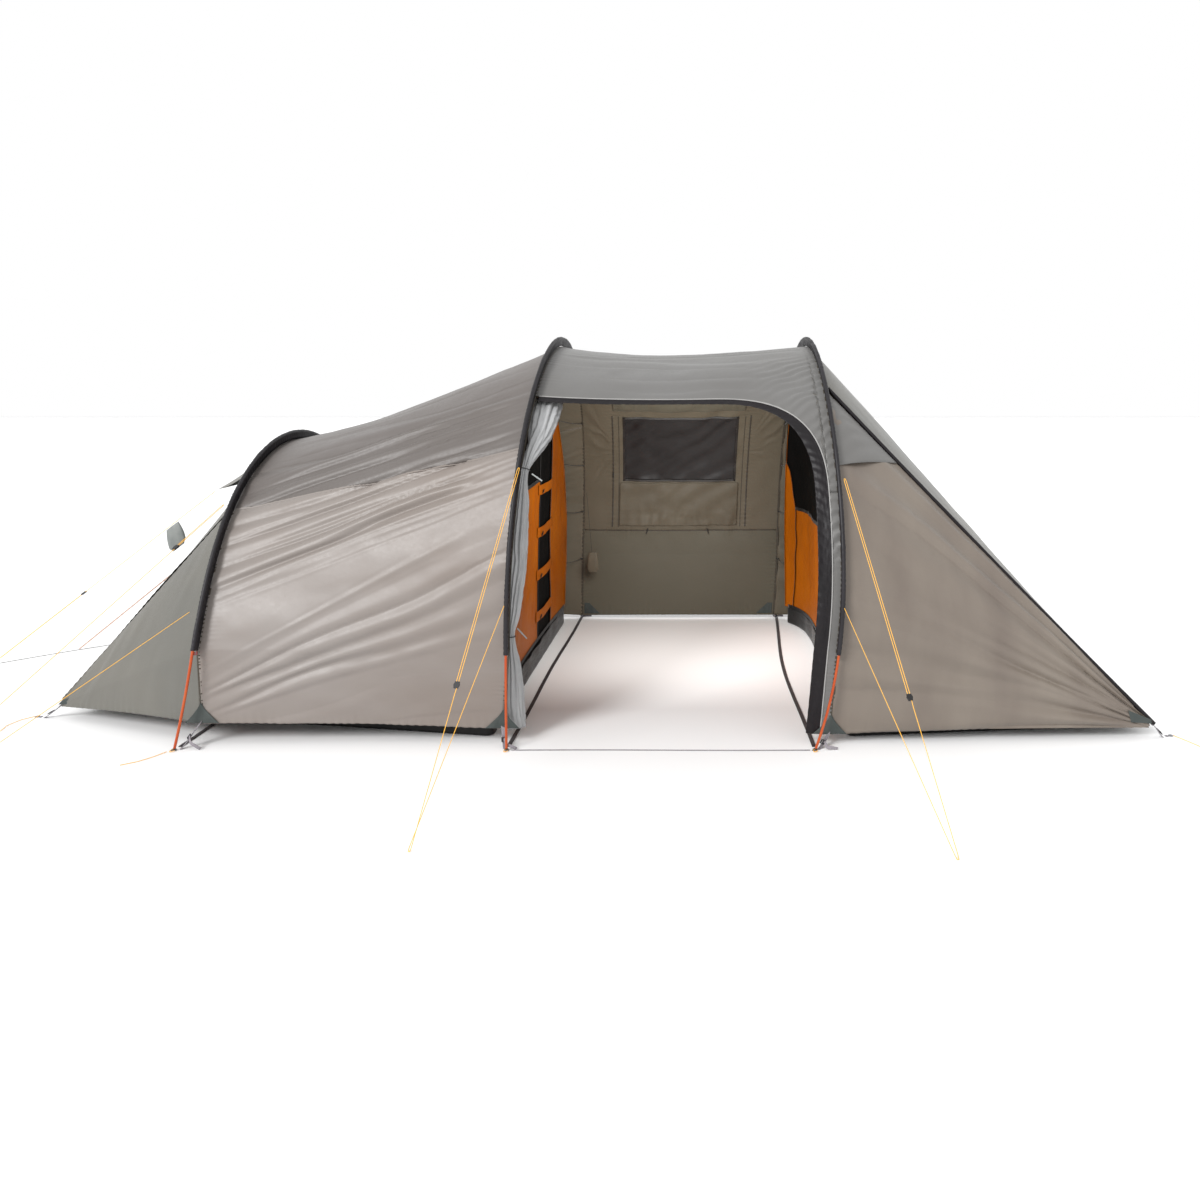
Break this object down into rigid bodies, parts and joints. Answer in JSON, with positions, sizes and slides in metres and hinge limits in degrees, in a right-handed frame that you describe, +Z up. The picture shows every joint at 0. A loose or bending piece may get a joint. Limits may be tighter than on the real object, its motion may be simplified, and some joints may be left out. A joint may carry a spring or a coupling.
{
  "type": "tunnel tent",
  "caption": "Tunnel tent on three hoop poles with a cabin at each end, a living area with an open side door, rolled door cloth, window wall and guy lines",
  "frame": {"origin": "on the ground at the middle of the footprint, measured without the free cords", "axes": "+X along the tent towards the crosswise cabin, -Y out of the side door, +Z up"},
  "size_m": [6.9825, 3.807, 2.0495],
  "materials": {
    "pole": "anodised orange",
    "metal": "satin",
    "elastic": "braided elastic",
    "plastic": "moulded",
    "toggle": "moulded",
    "sleeve": "woven polyester",
    "red_webbing": "webbing",
    "webbing": "webbing",
    "dark_webbing": "webbing",
    "patch": "coated reinforcement",
    "fly": "coated ripstop",
    "flap": "coated polyester",
    "pane": "tinted film",
    "curtain": "polyester",
    "inner": "breathable polyester",
    "mesh": "insect mesh",
    "floor": "coated floor cloth",
    "line": "braided line",
    "line_brown": "braided line",
    "line_black": "braided line",
    "zip": "coil"
  },
  "bodies": {
    "root": {"pole_left": "pole", "pole_middle": "pole", "pole_right": "pole", "pole_ferrules": "metal", "shock_cords": "elastic", "pole_tips": "plastic", "foot_eyelets": "metal", "peg_eyelets": "metal", "sleeve_left": "sleeve", "sleeve_middle": "sleeve", "sleeve_right": "sleeve", "sleeve_straps": "red_webbing", "foot_straps": "webbing", "buckles": "plastic", "cross_straps": "dark_webbing", "corner_patches": "patch", "main_near_panel": "fly", "main_roof": "fly", "main_far_panel": "fly", "centre_roof": "fly", "far_wall": "fly", "far_wall_lower": "fly", "window_pane": "pane", "curtain": "curtain", "storm_flap": "flap", "rolled_door": "fly", "left_side_panels": "fly", "left_end_panel": "fly", "left_hood": "fly", "right_side_panels": "fly", "right_end_panel": "fly", "right_hoods": "fly", "right_seams": "flap", "wall_zips": "zip", "inner_fronts": "inner", "inner_meshes": "mesh", "inner_canopies": "inner", "inner_floors": "floor", "inner_hooks": "elastic", "guy_left": "line", "guy_middle": "line", "guy_right": "line", "guy_hood": "line", "guy_end": "line_brown", "cord_ground": "line_black", "cord_corner_left": "line", "cord_corner_right": "line", "cord_foot_left": "line"},
    "tensioner_left": {"tensioner_left": "plastic"},
    "tensioner_middle": {"tensioner_middle": "plastic"},
    "tensioner_right": {"tensioner_right": "plastic"},
    "tensioner_hood": {"tensioner_hood": "plastic"},
    "tensioner_end": {"tensioner_end": "plastic"},
    "door_toggle_upper": {"door_toggle_upper": "toggle"},
    "door_toggle_lower": {"door_toggle_lower": "toggle"},
    "curtain_toggle_left": {"curtain_toggle_left": "plastic"},
    "curtain_toggle_right": {"curtain_toggle_right": "plastic"},
    "zip_slider": {"zip_slider": "plastic"},
    "pouch_line": {"pouch_line": "fly"},
    "pouch_wall": {"pouch_wall": "curtain"}
  },
  "joints": [
    {"name": "tensioner_left_slide", "type": "slide", "parent": "root", "child": "tensioner_left", "axis": [0.3351, 0.7634, 0.5522], "range_m": [0, 0.2]},
    {"name": "tensioner_middle_slide", "type": "slide", "parent": "root", "child": "tensioner_middle", "axis": [0.1063, 0.6289, 0.7702], "range_m": [0, 0.2]},
    {"name": "tensioner_right_slide", "type": "slide", "parent": "root", "child": "tensioner_right", "axis": [-0.1549, 0.6467, 0.7469], "range_m": [0, 0.2]},
    {"name": "tensioner_hood_slide", "type": "slide", "parent": "root", "child": "tensioner_hood", "axis": [-0.7903, 0, -0.6127], "range_m": [0, 0.2]},
    {"name": "tensioner_end_slide", "type": "slide", "parent": "root", "child": "tensioner_end", "axis": [-0.7852, 0.2196, -0.5789], "range_m": [0, 0.2]},
    {"name": "door_toggle_upper_turn", "type": "hinge", "parent": "root", "child": "door_toggle_upper", "pos_m": [-0.232, -1.155, 1.3], "axis": [0, 1, 0], "range_deg": [-50, 50]},
    {"name": "door_toggle_lower_turn", "type": "hinge", "parent": "root", "child": "door_toggle_lower", "pos_m": [-0.298, -1.195, 0.535], "axis": [0, 1, 0], "range_deg": [-5, 50]},
    {"name": "curtain_toggle_left_turn", "type": "hinge", "parent": "root", "child": "curtain_toggle_left", "pos_m": [0.14002, 1.25507, 0.65038], "axis": [0, 1, 0], "range_deg": [-75, 75]},
    {"name": "curtain_toggle_right_turn", "type": "hinge", "parent": "root", "child": "curtain_toggle_right", "pos_m": [0.59505, 1.25749, 0.65067], "axis": [0, 1, 0], "range_deg": [-75, 75]},
    {"name": "zip_slider_slide", "type": "slide", "parent": "root", "child": "zip_slider", "axis": [0.0351, -0.3267, 0.9445], "range_m": [-0.04, 0.05]},
    {"name": "pouch_line_swing", "type": "hinge", "parent": "root", "child": "pouch_line", "pos_m": [-2.7099, 0, 0.88833], "axis": [-0.7903, 0, -0.6127], "range_deg": [-60, 60]},
    {"name": "pouch_wall_swing", "type": "hinge", "parent": "root", "child": "pouch_wall", "pos_m": [-0.3, 1.15, 0.95], "axis": [0, 1, 0], "range_deg": [-20, 12]}
  ]
}
